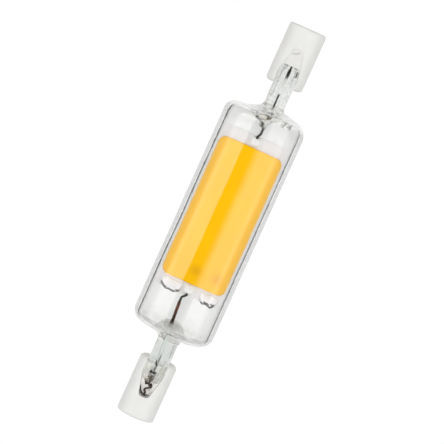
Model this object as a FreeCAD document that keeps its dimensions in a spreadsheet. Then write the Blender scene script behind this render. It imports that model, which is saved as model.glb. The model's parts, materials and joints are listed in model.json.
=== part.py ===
import FreeCAD, Part
import math
import operator
import os
import types
import Sketcher

# A double-ended linear lamp, 78 mm long: a sealed glass tube with flat pressed stems,
# a white ceramic cap with a recessed contact on each stem, and inside the tube a ceramic
# board with a strip of yellow phosphor on both faces.
# X runs along the lamp, Y across the board, and the front strip faces +Z.
# The origin is the middle of the lamp, on the axis of the tube. All lengths are millimetres.

driving_sizes = [
    # glass tube
    ("tube_diameter", 15.8, "outside"),
    ("tube_wall", 1.0, "thickness of the round wall"),
    ("tube_length", 44.6, "between the corners where the end faces meet the round wall"),
    ("shoulder_radius", 2.5, "outer rounding between the wall and an end face"),
    ("end_wall", 1.0, "thickness of an end face along the axis"),
    ("end_rise", 1.2, "how far an end face swells out towards the stem"),
    ("cone_diameter", 7.8, "base of the glass cone that points into the tube's right end"),
    ("cone_height", 2.4, "of that cone"),
    ("cone_tip_diameter", 1.5, "blunt tip round the seal wire"),
    ("cone_tip_round", 0.4, "edge of that tip"),
    ("dome_diameter", 6.0, "base of the glass dome inside the left end"),
    ("dome_height", 2.6, "of that dome"),
    ("dome_top_diameter", 4.0, "of its top, before the edge is rounded"),
    ("dome_round", 1.6, "edge of its top"),
    ("foot_round", 0.8, "where the cone or the dome runs out into the end face"),
    ("flare_diameter", 7.7, "glass drawn out of the end face where a stem starts"),
    ("flare_length", 1.5, "of the drawn glass, from the end face"),
    ("flare_swell", 0.45, "how far it stands round the stem at a third of that length"),
    # pressed stems
    ("right_stem_length", 5.95, "from the right corner of the tube to the cap"),
    ("left_stem_length", 4.95, "from the left corner of the tube to the cap"),
    ("end_offset", 0.4, "stems and caps stand this far beside the axis of the tube"),
    ("stem_width", 4.0, "across the ridges"),
    ("stem_thickness", 2.3, "over the ridges"),
    ("stem_web", 1.5, "thickness between the ridges"),
    ("stem_ridge", 0.75, "width of a ridge"),
    ("stem_round", 0.3, "rounding of its edges"),
    ("groove_slope", 0.25, "run-out of a groove's flank"),
    ("tongue_gap", 2.5, "from the tip of a stem to the end of the slot it sits in"),
    # ceramic cap
    ("cap_diameter", 7.2, "outside"),
    ("cap_length", 11.4, "along the lamp"),
    ("cap_outer_round", 0.45, "edge at the contact"),
    ("cap_inner_round", 0.8, "edge at the stem"),
    ("notch_floor", 4.2, "ceramic between the slot's end and the cap's outer end"),
    ("notch_taper", 4.3, "length of the tapered part of the slot"),
    ("notch_end_width", 1.9, "of the slot at its end, before its corners are rounded"),
    ("notch_end_round", 0.8, "corners at the slot's end"),
    ("taper_round", 4.0, "bend where the taper starts"),
    ("stem_clearance", 0.05, "between stem and slot"),
    # contact
    ("contact_recess", 1.7, "from the end of the cap down to the contact's face"),
    ("recess_diameter", 4.2, "of the well in the cap"),
    ("contact_diameter", 3.6, "head of the contact"),
    ("contact_thickness", 0.6, "of that head, which sits in a seat under the well"),
    ("contact_clearance", 0.1, "round the head and the shank"),
    ("contact_bevel", 0.15, "edge of the head"),
    ("shank_diameter", 1.1, "of the tube crimped on the lead"),
    ("shank_length", 1.2, "from the underside of the head"),
    # cement between stem and cap
    ("cement_sink", 0.15, "below the round surface of the cap"),
    ("cement_lap", 0.8, "of the right slot's filling over the tip of the stem"),
    ("left_cement_depth", 1.2, "where the bed behind the left stem starts"),
    ("left_cement_drop", 0.4, "top of that bed, below the axis"),
    # wires
    ("seal_wire_diameter", 0.6, "copper-clad wire sealed in the glass"),
    ("joint_inset", 1.5, "weld of seal wire and outer lead, from the tip of the stem"),
    ("right_wire_gap", 1.55, "from the board to the end of the right seal wire"),
    ("right_wire_side", 0.33, "that end, to the -Y side of the tube's axis"),
    ("left_wire_gap", 1.6, "from the board to the end of the left seal wire"),
    ("left_wire_side", 0.65, "that end, to the +Y side of the tube's axis"),
    ("outer_lead_diameter", 0.4, "nickel wire from the seal to the contact"),
    ("curl_gap", 0.3, "from the tip of the stem to the first bend of the left lead's slack"),
    ("curl_out", 0.5, "from there to the bend on the one side, along the lamp"),
    ("curl_across", 0.7, "on to the bend on the other side"),
    ("curl_back", 0.5, "and on to the last bend"),
    ("curl_side", 0.55, "how far the slack reaches to the one side"),
    ("curl_other_side", 0.45, "and to the other side"),
    ("curl_radius", 0.3, "of its bends"),
    ("inner_lead_diameter", 0.45, "nickel wire from the seal to the board"),
    ("lead_bend_radius", 0.4, "of the inner leads"),
    ("lead_bend_length", 0.6, "along the lamp, of their sloping run up to the board"),
    # ceramic board
    ("right_room", 4.45, "from the right corner of the tube to the board"),
    ("left_room", 8.0, "from the left corner of the tube to the board"),
    ("board_clearance", 0.165, "between the bore and the lower edges of the board"),
    ("board_thickness", 1.0, "of the ceramic"),
    ("board_corner", 0.8, "rounding of its corners"),
    ("board_margin", 2.25, "bare board at each end of the phosphor"),
    ("board_side_margin", 0.2, "bare board at each side of the phosphor"),
    ("pad_thickness", 0.1, "of the printed pads"),
    ("pad_width", 2.4, "across the board"),
    ("pad_gap", 0.15, "between a pad, the phosphor and the end of the board"),
    ("solder_width", 1.9, "across the board"),
    ("solder_height", 0.65, "above the pad"),
    ("solder_film", 0.04, "between a pad and the lead that lies on it"),
    # clips round the left end of the board
    ("clip_thickness", 0.3, "of the bent strip"),
    ("clip_reach", 1.7, "along both faces of the board"),
    ("clip_gap", 0.15, "between the strip and the end of the board"),
    ("clip_bend", 0.4, "outer radius of the bends"),
    ("near_clip_margin", 1.1, "from the +Y side of the board to the near clip"),
    ("near_clip_gap", 0.2, "from the near clip to the pad"),
    ("far_clip_margin", 0.85, "from the -Y side of the board to the far clip"),
    ("far_clip_gap", 1.25, "from the far clip to the pad"),
    # phosphor strips
    ("strip_thickness", 0.6, "above the board"),
    ("strip_corner", 1.5, "rounding of its corners"),
    ("strip_edge_round", 0.3, "rounding of its free edge"),
    # chips under the phosphor
    ("chip_length", 1.0, "along the lamp"),
    ("chip_width", 0.6, "across the board"),
    ("chip_height", 0.15, "above the board"),
    ("chip_count", 11, "in a row"),
    ("row_margin", 1.6, "from the right edge of the strip to the middle of the first chips"),
    ("row_end_margin", 6.0, "from the left edge of the strip to the middle of the last chips"),
    ("row_side_margin", 3.45, "from a side of the strip to the middle of a row"),
    ("rectifier_length", 2.2, "along the lamp"),
    ("rectifier_width", 2.6, "across the board"),
    ("rectifier_margin", 1.15, "from the -Y side of the strip"),
    ("driver_length", 2.0, "along the lamp"),
    ("driver_width", 2.2, "across the board"),
    ("driver_gap", 1.85, "from the rectifier"),
    ("circuit_height", 0.4, "of both circuits above the board"),
    ("circuit_margin", 2.7, "from the left edge of the strip to the middle of the circuits"),
]


class Size:
    # A size of the sheet, or one worked out from such sizes: its number and its expression.
    def __init__(self, number, text):
        self.number = number
        self.text = text

    def __add__(self, other):
        return worked_out(operator.add, "+", self, other)

    def __sub__(self, other):
        return worked_out(operator.sub, "-", self, other)

    def __mul__(self, other):
        return worked_out(operator.mul, "*", self, other)

    def __truediv__(self, other):
        return worked_out(operator.truediv, "/", self, other)

    def __neg__(self):
        return self * -1


def as_size(value):
    if isinstance(value, Size):
        return value
    return Size(value, "(%r)" % value)


def worked_out(action, sign, left, right):
    left = as_size(left)
    right = as_size(right)
    number = action(left.number, right.number)
    return Size(number, "(%s %s %s)" % (left.text, sign, right.text))


def square_root(value):
    return Size(math.sqrt(value.number), "sqrt(%s)" % value.text)


document = FreeCAD.newDocument("linear_lamp")
sheet = document.addObject("Spreadsheet::Sheet", "Sizes")
size = types.SimpleNamespace()
for row, (name, value, note) in enumerate(driving_sizes, start=1):
    sheet.set("A%d" % row, name)
    sheet.set("B%d" % row, str(value))
    sheet.set("C%d" % row, note)
    sheet.setAlias("B%d" % row, name)
    setattr(size, name, Size(value, "Sizes." + name))
document.recompute()

# Places that several pieces share.
tube_radius = size.tube_diameter / 2
bore_radius = tube_radius - size.tube_wall
# The lamp's middle is half way between the outer ends of the caps.
tube_middle = (size.left_stem_length - size.right_stem_length) / 2
tube_right = tube_middle + size.tube_length / 2
tube_left = tube_middle - size.tube_length / 2
cap_radius = size.cap_diameter / 2
cap_inner_end = tube_right + size.right_stem_length
notch_half_width = size.stem_width / 2 + size.stem_clearance
# Depths in a cap count from its inner end.
notch_depth = size.cap_length - size.notch_floor
notch_straight = notch_depth - size.notch_taper
tongue_depth = notch_depth - size.tongue_gap
joint_depth = tongue_depth - size.joint_inset

# The leads lie on the axis and the board hangs under them, its lower edges close to the bore.
board_top = -(size.inner_lead_diameter / 2 + size.solder_film + size.pad_thickness)
board_bottom = board_top - size.board_thickness
chord = square_root(bore_radius * bore_radius - board_bottom * board_bottom)
board_width = (chord - size.board_clearance) * 2
board_right = tube_right - size.right_room
board_left = tube_left + size.left_room
board_length = board_right - board_left
board_middle = (board_right + board_left) / 2
pad_length = size.board_margin - size.pad_gap * 2

strip_length = board_length - size.board_margin * 2
strip_width = board_width - size.board_side_margin * 2
strip_right = board_right - size.board_margin
chip_pitch = (strip_length - size.row_margin - size.row_end_margin) / (size.chip_count - 1)
row_spacing = strip_width - size.row_side_margin * 2
circuit_middle = board_left + size.board_margin + size.circuit_margin
rectifier_side = size.rectifier_margin + size.rectifier_width / 2 - strip_width / 2
driver_side = (rectifier_side + size.rectifier_width / 2 + size.driver_gap
               + size.driver_width / 2)


# Sketches

class Drawing:
    # The lines and arcs of one sketch, each held by sizes of the sheet.
    # It lies on a plane of the body's origin, or square to the start of a path.
    def __init__(self, body, name, role=None, height=None, path=None):
        self.sketch = body.newObject("Sketcher::SketchObject", name)
        if path is None:
            plane = next(item for item in body.Origin.OriginFeatures if item.Role == role)
            self.sketch.AttachmentSupport = [(plane, "")]
            self.sketch.MapMode = "FlatFace"
        else:
            self.sketch.AttachmentSupport = [(path, "Edge1")]
            self.sketch.MapMode = "NormalToEdge"
        if height is not None:
            self.sketch.setExpression("AttachmentOffset.Base.z", height.text)
        self.geometry = []
        self.constraints = []
        self.expressions = []

    def add(self, curve, helper=False):
        self.geometry.append((curve, helper))
        return len(self.geometry) - 1

    def join(self, kind, *places):
        self.constraints.append(Sketcher.Constraint(kind, *places))

    def measure(self, kind, places, value):
        value = as_size(value)
        self.expressions.append((len(self.constraints), value.text))
        self.join(kind, *places, float(value.number))

    def hold(self, curve, end, x, y):
        # Fixes one end of a curve, or its centre, at (x, y) from the sketch's origin.
        self.measure("DistanceX", (-1, 1, curve, end), x)
        self.measure("DistanceY", (-1, 1, curve, end), y)

    def circle(self, radius):
        middle = FreeCAD.Vector(0, 0, 0)
        curve = self.add(Part.Circle(middle, FreeCAD.Vector(0, 0, 1), radius.number))
        self.join("Coincident", curve, 3, -1, 1)
        self.measure("Radius", (curve,), radius)
        return self.finish()

    def outline(self, corners, closed=True):
        # A corner is (x, y), or (x, y, radius) where it is rounded.
        count = len(corners)
        spots = [tuple(as_size(value) for value in corner) for corner in corners]
        points = [FreeCAD.Vector(spot[0].number, spot[1].number, 0) for spot in spots]
        rounds = {}
        for index, spot in enumerate(spots):
            if len(spot) == 3:
                before = points[index - 1]
                after = points[(index + 1) % count]
                rounds[index] = Rounding(before, points[index], after, spot[2].number)
        line_count = count if closed else count - 1
        lines = []
        for index in range(line_count):
            following = (index + 1) % count
            start = rounds[index].leave if index in rounds else points[index]
            end = rounds[following].enter if following in rounds else points[following]
            lines.append(self.add(Part.LineSegment(start, end)))
        for index, spot in enumerate(spots):
            is_first = index == 0 and not closed
            is_last = index == count - 1 and not closed
            if index in rounds:
                self.round_corner(lines[index - 1], lines[index], rounds[index], spot)
            elif is_last:
                self.hold(lines[-1], 2, spot[0], spot[1])
            else:
                self.hold(lines[index], 1, spot[0], spot[1])
                if not is_first:
                    self.join("Coincident", lines[index - 1], 2, lines[index], 1)
        return self.finish()

    def round_corner(self, line_in, line_out, rounding, spot):
        arc = self.add(rounding.arc)
        corner = self.add(Part.Point(rounding.corner), helper=True)
        enter_end = 1 if rounding.turns_left else 2
        self.join("Tangent", line_in, 2, arc, enter_end)
        self.join("Tangent", line_out, 1, arc, 3 - enter_end)
        self.join("PointOnObject", corner, 1, line_in)
        self.join("PointOnObject", corner, 1, line_out)
        self.hold(corner, 1, spot[0], spot[1])
        self.measure("Radius", (arc,), spot[2])

    def finish(self):
        for curve, helper in self.geometry:
            self.sketch.addGeometry(curve, helper)
        self.sketch.addConstraint(self.constraints)
        for index, text in self.expressions:
            self.sketch.setExpression("Constraints[%d]" % index, text)
        return self.sketch


class Rounding:
    # The arc that rounds one corner of an outline, with the points where it meets the lines.
    def __init__(self, before, corner, after, radius):
        back = (before - corner).normalize()
        ahead = (after - corner).normalize()
        half_angle = back.getAngle(ahead) / 2
        reach = radius / math.tan(half_angle)
        inward = (back + ahead).normalize()
        centre = corner + inward * (radius / math.sin(half_angle))
        self.corner = corner
        self.enter = corner + back * reach
        self.leave = corner + ahead * reach
        self.turns_left = (corner - before).cross(after - corner).z > 0
        ends = [self.enter, self.leave] if self.turns_left else [self.leave, self.enter]
        angles = [math.atan2(end.y - centre.y, end.x - centre.x) for end in ends]
        circle = Part.Circle(centre, FreeCAD.Vector(0, 0, 1), radius)
        self.arc = Part.ArcOfCircle(circle, angles[0], angles[1])


def rectangle(middle_x, middle_y, width, height, radius=None):
    right = as_size(middle_x) + width / 2
    left = as_size(middle_x) - width / 2
    top = as_size(middle_y) + height / 2
    bottom = as_size(middle_y) - height / 2
    corners = [(left, bottom), (right, bottom), (right, top), (left, top)]
    if radius is None:
        return corners
    return [corner + (radius,) for corner in corners]


# Features

def new_body(label):
    body = document.addObject("PartDesign::Body", "Body_" + label)
    body.Label = label
    return body


def new_feature(body, kind, name, profile):
    feature = body.newObject("PartDesign::" + kind, name)
    feature.Profile = (profile, [""])
    return feature


def turn(body, kind, name, profile):
    # A Revolution or a Groove round the body's own X axis.
    feature = new_feature(body, kind, name, profile)
    axis = next(item for item in body.Origin.OriginFeatures if item.Role == "X_Axis")
    feature.ReferenceAxis = (axis, [""])
    feature.Angle = 360
    return feature


def extrude(body, kind, name, profile, length, both_ways=False, reverse=False):
    # A Pad or a Pocket of the given length.
    feature = new_feature(body, kind, name, profile)
    feature.setExpression("Length", length.text)
    if both_ways:
        feature.SideType = "Symmetric"
    feature.Reversed = reverse
    return feature


def sweep(body, name, profile, path):
    feature = new_feature(body, "AdditivePipe", name, profile)
    path.recompute()
    edges = ["Edge%d" % (index + 1) for index in range(len(path.Shape.Edges))]
    feature.Spine = (path, edges)
    return feature


def round_edges(body, name, feature, radius, chosen):
    # A Fillet on the edges of a feature for which chosen(edge) is true.
    document.recompute()
    edges = enumerate(feature.Shape.Edges, start=1)
    names = ["Edge%d" % index for index, edge in edges if chosen(edge)]
    fillet = body.newObject("PartDesign::Fillet", name)
    fillet.Base = (feature, names)
    fillet.setExpression("Radius", radius.text)
    return fillet


def place(item, x=None, y=None, z=None):
    for axis, value in (("x", x), ("y", y), ("z", z)):
        if value is not None:
            item.setExpression("Placement.Base." + axis, value.text)


def place_at_end(item, side):
    # The frame of an end: X runs outwards from the inner end of the cap, on the stem's axis.
    if side < 0:
        half_turn = FreeCAD.Rotation(FreeCAD.Vector(0, 0, 1), 180)
        item.Placement = FreeCAD.Placement(FreeCAD.Vector(0, 0, 0), half_turn)
    place(item, x=cap_inner_end * side, y=-size.end_offset)


def wire(label, corners, diameter):
    # A round wire through the given corners in the XY plane.
    body = new_body(label)
    path = Drawing(body, label + "_path", "XY_Plane").outline(corners, closed=False)
    profile = Drawing(body, label + "_section", path=path).circle(diameter / 2)
    sweep(body, label + "_wire", profile, path)
    return body


def boolean(kind, name, base, tool):
    item = document.addObject("Part::" + kind, name)
    item.Label = name
    item.Base = base
    item.Tool = tool
    return item


# Glass tube with its end faces, the cone and dome inside it and the drawn glass at the stems

def end_face_x(side, radius):
    # Where the outer end face lies at a radius.
    swell = size.end_rise * (tube_radius - radius) / (tube_radius - size.stem_width / 2)
    return (size.tube_length / 2 + swell) * side + tube_middle


def tube_outline():
    root_radius = size.stem_width / 2
    corners = []
    for side in (-1, 1):
        corner_x = size.tube_length / 2 * side + tube_middle
        face_x = end_face_x(side, root_radius)
        half = [
            (face_x, 0.0),
            (face_x, root_radius),
            (corner_x, tube_radius, size.shoulder_radius),
        ]
        corners += half if side < 0 else half[::-1]
    return corners


def hollow_end(side, base_diameter, height, tip_diameter, tip_round):
    # Half the outline of one end of the bore, from the axis over the cone or dome to the wall.
    corner_x = (size.tube_length / 2 - size.end_wall) * side + tube_middle
    base_radius = base_diameter / 2
    base_x = end_face_x(side, base_radius + size.tube_wall) - size.end_wall * side
    tip_x = base_x - height * side
    return [
        (tip_x, 0.0),
        (tip_x, tip_diameter / 2, tip_round),
        (base_x, base_radius, size.foot_round),
        (corner_x, bore_radius, size.shoulder_radius - size.tube_wall),
    ]


def hollow_outline():
    dome = hollow_end(-1, size.dome_diameter, size.dome_height, size.dome_top_diameter,
                      size.dome_round)
    cone = hollow_end(1, size.cone_diameter, size.cone_height, size.cone_tip_diameter,
                      size.cone_tip_round)
    return dome + cone[::-1]


def flare(body, side):
    # Glass drawn from the end face into the flat of the stem, through three sections.
    # The corners of a section are rounded by this share of its height, nearly to a circle.
    roundness = 0.42
    root = end_face_x(side, size.stem_width / 2)
    buried = size.tube_length / 2 * side + tube_middle
    swell = size.flare_swell * 2
    sections = [
        (buried, 0.0, size.flare_diameter, size.flare_diameter),
        (root + size.flare_length / 3 * side, -size.end_offset,
         size.stem_width + swell, size.stem_thickness + swell),
        (root + size.flare_length * side, -size.end_offset,
         size.stem_width, size.stem_thickness),
    ]
    name = "flare_right" if side > 0 else "flare_left"
    profiles = []
    for index, (x, y, width, height) in enumerate(sections):
        drawing = Drawing(body, "%s_section_%d" % (name, index), "YZ_Plane", x)
        corners = rectangle(y, 0.0, width, height, height * roundness)
        profiles.append(drawing.outline(corners))
    loft = new_feature(body, "AdditiveLoft", name, profiles[0])
    loft.Sections = [(profile, [""]) for profile in profiles[1:]]


def make_tube():
    body = new_body("tube_blank")
    outside = Drawing(body, "tube_outside", "XY_Plane").outline(tube_outline())
    turn(body, "Revolution", "tube_wall", outside)
    for side in (1, -1):
        flare(body, side)
    hollow = Drawing(body, "tube_hollow", "XY_Plane").outline(hollow_outline())
    turn(body, "Groove", "tube_bore", hollow)
    return body


# Flat stem, pressed to a section like an I, with a tapered tongue that fits the cap's slot

def notch_width_at(depth):
    # Half the width of the tapered part of the slot.
    narrowing = (notch_half_width - size.notch_end_width / 2) / size.notch_taper
    return notch_half_width - narrowing * (depth - notch_straight)


def slot_outline(start, depth, inset, end_round):
    # The slot's plan from a start to a depth, with its sides moved in by the inset.
    side_y = notch_half_width - inset
    end_y = notch_width_at(depth) - inset
    return [
        (start, -side_y),
        (notch_straight, -side_y, size.taper_round),
        (depth, -end_y, end_round),
        (depth, end_y, end_round),
        (notch_straight, side_y, size.taper_round),
        (start, side_y),
    ]


def make_stem(side):
    label = "right_stem" if side > 0 else "left_stem"
    body = new_body(label)
    root = -size.right_stem_length if side > 0 else -size.left_stem_length
    tip_roundness = 0.75
    tip_round = (notch_width_at(tongue_depth) - size.stem_clearance) * tip_roundness
    plan = slot_outline(root, tongue_depth, size.stem_clearance, tip_round)
    profile = Drawing(body, label + "_plan", "XY_Plane").outline(plan)
    blank = extrude(body, "Pad", label + "_blank", profile, size.stem_thickness, both_ways=True)
    round_edges(body, label + "_rounding", blank, size.stem_round, is_level)
    groove_half = size.stem_width / 2 - size.stem_ridge
    for name, face in (("front", 1), ("back", -1)):
        outer_z = size.stem_thickness * face
        floor_z = size.stem_web / 2 * face
        corners = [
            (-groove_half, outer_z),
            (-(groove_half - size.groove_slope), floor_z),
            (groove_half - size.groove_slope, floor_z),
            (groove_half, outer_z),
        ]
        drawing = Drawing(body, "%s_%s_groove" % (label, name), "YZ_Plane", root)
        extrude(body, "Pocket", "%s_%s_press" % (label, name), drawing.outline(corners),
                tongue_depth - root, reverse=True)
    place_at_end(body, side)
    return body


def is_level(edge):
    # True for an edge that lies flat in Z, as the rims of a plate do.
    return edge.BoundBox.ZLength < 1e-6


# Ceramic cap with its slot, its well and the hole for the lead

def make_cap(label, side):
    body = new_body(label)
    well_radius = size.recess_diameter / 2
    well_bottom = size.cap_length - size.contact_recess
    seat_radius = size.contact_diameter / 2 + size.contact_clearance
    seat_bottom = well_bottom - size.contact_thickness
    hole_radius = size.shank_diameter / 2 + size.contact_clearance
    corners = [
        (0.0, hole_radius),
        (0.0, cap_radius, size.cap_inner_round),
        (size.cap_length, cap_radius, size.cap_outer_round),
        (size.cap_length, well_radius),
        (well_bottom, well_radius),
        (well_bottom, seat_radius),
        (seat_bottom, seat_radius),
        (seat_bottom, hole_radius),
    ]
    profile = Drawing(body, label + "_section", "XY_Plane").outline(corners)
    turn(body, "Revolution", label + "_turned", profile)
    slot = slot_outline(-size.cap_inner_round, notch_depth, 0.0, size.notch_end_round)
    plan = Drawing(body, label + "_slot_plan", "XY_Plane").outline(slot)
    extrude(body, "Pocket", label + "_slot", plan, size.cap_diameter * 2, both_ways=True)
    place_at_end(body, side)
    return body


def make_contact(label, side):
    body = new_body(label)
    head_top = size.cap_length - size.contact_recess
    head_bottom = head_top - size.contact_thickness
    head_radius = size.contact_diameter / 2
    shank_radius = size.shank_diameter / 2
    hole_radius = size.outer_lead_diameter / 2
    corners = [
        (head_bottom - size.shank_length, hole_radius),
        (head_bottom - size.shank_length, shank_radius),
        (head_bottom, shank_radius),
        (head_bottom, head_radius),
        (head_top - size.contact_bevel, head_radius),
        (head_top, head_radius - size.contact_bevel),
        (head_top, 0.0),
        (head_bottom, 0.0),
        (head_bottom, hole_radius),
    ]
    profile = Drawing(body, label + "_section", "XY_Plane").outline(corners)
    turn(body, "Revolution", label + "_turned", profile)
    place_at_end(body, side)
    return body


# Cement between a stem and its cap

def make_cement(label, side, start, top, glass, lead):
    # Fills the slot behind the stem, or on both faces of it, up to just below the cap's skin.
    body = new_body(label + "_plan")
    skin_radius = cap_radius - size.cement_sink
    slot = slot_outline(0.0, notch_depth, 0.0, size.notch_end_round)
    profile = Drawing(body, label + "_outline", "XY_Plane", top).outline(slot)
    extrude(body, "Pad", label + "_block", profile, top + skin_radius, reverse=True)
    place_at_end(body, side)
    skin = document.addObject("Part::Cylinder", label + "_skin")
    skin.setExpression("Radius", skin_radius.text)
    skin.setExpression("Height", (notch_depth - start).text)
    lying = FreeCAD.Rotation(FreeCAD.Vector(0, 1, 0), 90 * side)
    skin.Placement = FreeCAD.Placement(FreeCAD.Vector(0, 0, 0), lying)
    place(skin, x=(cap_inner_end + start) * side, y=-size.end_offset)
    filling = boolean("Common", label + "_filling", body, skin)
    around_glass = boolean("Cut", label + "_bed", filling, glass)
    return boolean("Cut", label, around_glass, lead)


# Wires

def make_seal_wire(label, side, inner_end, inner_side):
    # Straight through the pressed stem, from inside the tube to the weld in the tongue.
    outer_end = (cap_inner_end + joint_depth) * side
    ends = [(inner_end, inner_side), (outer_end, -size.end_offset)]
    return wire(label, ends, size.seal_wire_diameter)


def curl_corners():
    # The slack of a lead, folded to both sides in the end of the slot.
    start = tongue_depth + size.curl_gap
    first = start + size.curl_out
    second = first + size.curl_across
    last = second + size.curl_back
    return [
        (start, 0.0, size.curl_radius),
        (first, size.curl_side, size.curl_radius),
        (second, -size.curl_other_side, size.curl_radius),
        (last, 0.0, size.curl_radius),
    ]


def make_outer_lead(label, side, slack):
    # From the weld out of the tongue, through its slack, up to the contact.
    head_bottom = size.cap_length - size.contact_recess - size.contact_thickness
    corners = [(joint_depth, 0.0)] + slack + [(head_bottom, 0.0)]
    body = wire(label, corners, size.outer_lead_diameter)
    place_at_end(body, side)
    return body


def make_inner_lead(label, side, wire_end, wire_side, board_end):
    # From the seal wire down to the end of the board and on to the middle of the pad.
    corners = [
        (wire_end, wire_side),
        (board_end + size.lead_bend_length * side, wire_side, size.lead_bend_radius),
        (board_end, 0.0, size.lead_bend_radius),
        (board_end - size.board_margin / 2 * side, 0.0),
    ]
    return wire(label, corners, size.inner_lead_diameter)


# Board with its pads, solder and clips

def plate(label, middle_x, middle_y, length, width, corner, bottom, thickness):
    # A flat piece of the given plan, from a height upwards.
    body = new_body(label)
    corners = rectangle(middle_x, middle_y, length, width, corner)
    profile = Drawing(body, label + "_plan", "XY_Plane", bottom).outline(corners)
    extrude(body, "Pad", label + "_plate", profile, thickness)
    return body


def make_pad(label, side, board_end):
    middle = board_end - size.board_margin / 2 * side
    corner = size.pad_gap
    return plate(label, middle, 0.0, pad_length, size.pad_width, corner, board_top,
                 size.pad_thickness)


def make_solder(label, side, board_end, lead):
    # A low mound over the end of the lead.
    mound = document.addObject("Part::Ellipsoid", label + "_mound")
    mound.setExpression("Radius1", size.solder_height.text)
    mound.setExpression("Radius2", (pad_length / 2).text)
    mound.setExpression("Radius3", (size.solder_width / 2).text)
    mound.Angle1 = 0
    place(mound, x=board_end - size.board_margin / 2 * side, z=board_top + size.pad_thickness)
    return boolean("Cut", label, mound, lead)


def make_clip(label, side, margin, gap):
    # A strip folded round the left end of the board, seen from the side as a U.
    # It reaches from a margin inside the board's side to a gap beside the pad.
    body = new_body(label)
    outer_side = board_width / 2 - margin
    inner_side = size.pad_width / 2 + gap
    width = outer_side - inner_side
    inner_x = board_left - size.clip_gap
    outer_x = inner_x - size.clip_thickness
    tip_x = board_left + size.clip_reach
    top = board_top + size.clip_thickness
    bottom = board_bottom - size.clip_thickness
    corners = [
        (tip_x, board_top),
        (tip_x, top),
        (outer_x, top, size.clip_bend),
        (outer_x, bottom, size.clip_bend),
        (tip_x, bottom),
        (tip_x, board_bottom),
        (inner_x, board_bottom),
        (inner_x, board_top),
    ]
    profile = Drawing(body, label + "_profile", "XZ_Plane").outline(corners)
    extrude(body, "Pad", label + "_strip", profile, width, both_ways=True)
    place(body, y=(outer_side + inner_side) / 2 * side)
    return body


# Phosphor strips and the chips under them

def chip_pattern(body, feature):
    # Repeats one chip, or its pocket, along a row and across to the other row.
    origin_axes = {item.Role: item for item in body.Origin.OriginFeatures}
    pattern = body.newObject("PartDesign::MultiTransform", feature.Name + "_rows")
    pattern.Originals = [feature]
    along = body.newObject("PartDesign::LinearPattern", feature.Name + "_along")
    along.Direction = (origin_axes["X_Axis"], [""])
    along.Reversed = True
    along.setExpression("Length", (chip_pitch * (size.chip_count - 1)).text)
    along.setExpression("Occurrences", size.chip_count.text)
    across = body.newObject("PartDesign::LinearPattern", feature.Name + "_across")
    across.Direction = (origin_axes["Y_Axis"], [""])
    across.setExpression("Length", row_spacing.text)
    across.Occurrences = 2
    pattern.Transformations = [along, across]
    body.Tip = pattern
    return pattern


def chip_rectangle(body, name, height=None):
    first_x = strip_right - size.row_margin
    corners = rectangle(first_x, -row_spacing / 2, size.chip_length, size.chip_width)
    return Drawing(body, name, "XY_Plane", height).outline(corners)


def make_chips(label, height):
    body = new_body(label)
    body.AllowCompound = True
    profile = chip_rectangle(body, label + "_plan", height)
    chip = extrude(body, "Pad", label + "_chip", profile, size.chip_height)
    chip_pattern(body, chip)
    return body


def make_strip(label, height, face):
    # The phosphor, with the chips' places left free. The back strip (face -1) hangs down.
    body = new_body(label)
    corners = rectangle(board_middle, 0.0, strip_length, strip_width, size.strip_corner)
    profile = Drawing(body, label + "_plan", "XY_Plane", height).outline(corners)
    layer = extrude(body, "Pad", label + "_layer", profile, size.strip_thickness, reverse=face < 0)
    free_z = (height + size.strip_thickness * face).number

    def is_free_rim(edge):
        box = edge.BoundBox
        return abs(box.ZMin - free_z) < 1e-6 and abs(box.ZMax - free_z) < 1e-6

    round_edges(body, label + "_rounding", layer, size.strip_edge_round, is_free_rim)
    plan = chip_rectangle(body, label + "_chip_plan", height)
    pocket = extrude(body, "Pocket", label + "_chip_pocket", plan, size.chip_height,
                     reverse=face > 0)
    chip_pattern(body, pocket)
    return body


def circuit_pocket(body, name, middle_y, length, width):
    corners = rectangle(circuit_middle, middle_y, length, width)
    plan = Drawing(body, name + "_plan", "XY_Plane", board_top).outline(corners)
    extrude(body, "Pocket", name, plan, size.circuit_height, reverse=True)


def make_circuit(label, middle_y, length, width):
    return plate(label, circuit_middle, middle_y, length, width, size.chip_height, board_top,
                 size.circuit_height)


# The lamp, piece by piece

right_wire_end = board_right + size.right_wire_gap
left_wire_end = board_left - size.left_wire_gap
right_seal_wire = make_seal_wire("right_seal_wire", 1, right_wire_end, -size.right_wire_side)
left_seal_wire = make_seal_wire("left_seal_wire", -1, left_wire_end, size.left_wire_side)
right_outer_lead = make_outer_lead("right_outer_lead", 1, slack=[])
left_outer_lead = make_outer_lead("left_outer_lead", -1, slack=curl_corners())

blown_glass = document.addObject("Part::MultiFuse", "blown_glass")
blown_glass.Shapes = [make_tube(), make_stem(1), make_stem(-1)]
right_sealed = document.addObject("Part::MultiFuse", "right_sealed")
right_sealed.Shapes = [right_seal_wire, right_outer_lead]
left_sealed = document.addObject("Part::MultiFuse", "left_sealed")
left_sealed.Shapes = [left_seal_wire, left_outer_lead]
right_end_cut = boolean("Cut", "right_end_cut", blown_glass, right_sealed)
glass_envelope = boolean("Cut", "glass_envelope", right_end_cut, left_sealed)

front_phosphor = make_strip("front_phosphor", board_top, 1)
circuit_pocket(front_phosphor, "rectifier_pocket", rectifier_side, size.rectifier_length,
               size.rectifier_width)
circuit_pocket(front_phosphor, "driver_pocket", driver_side, size.driver_length,
               size.driver_width)

right_inner_lead = make_inner_lead("right_inner_lead", 1, right_wire_end,
                                   -size.right_wire_side, board_right)
left_inner_lead = make_inner_lead("left_inner_lead", -1, left_wire_end,
                                  size.left_wire_side, board_left)

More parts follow.
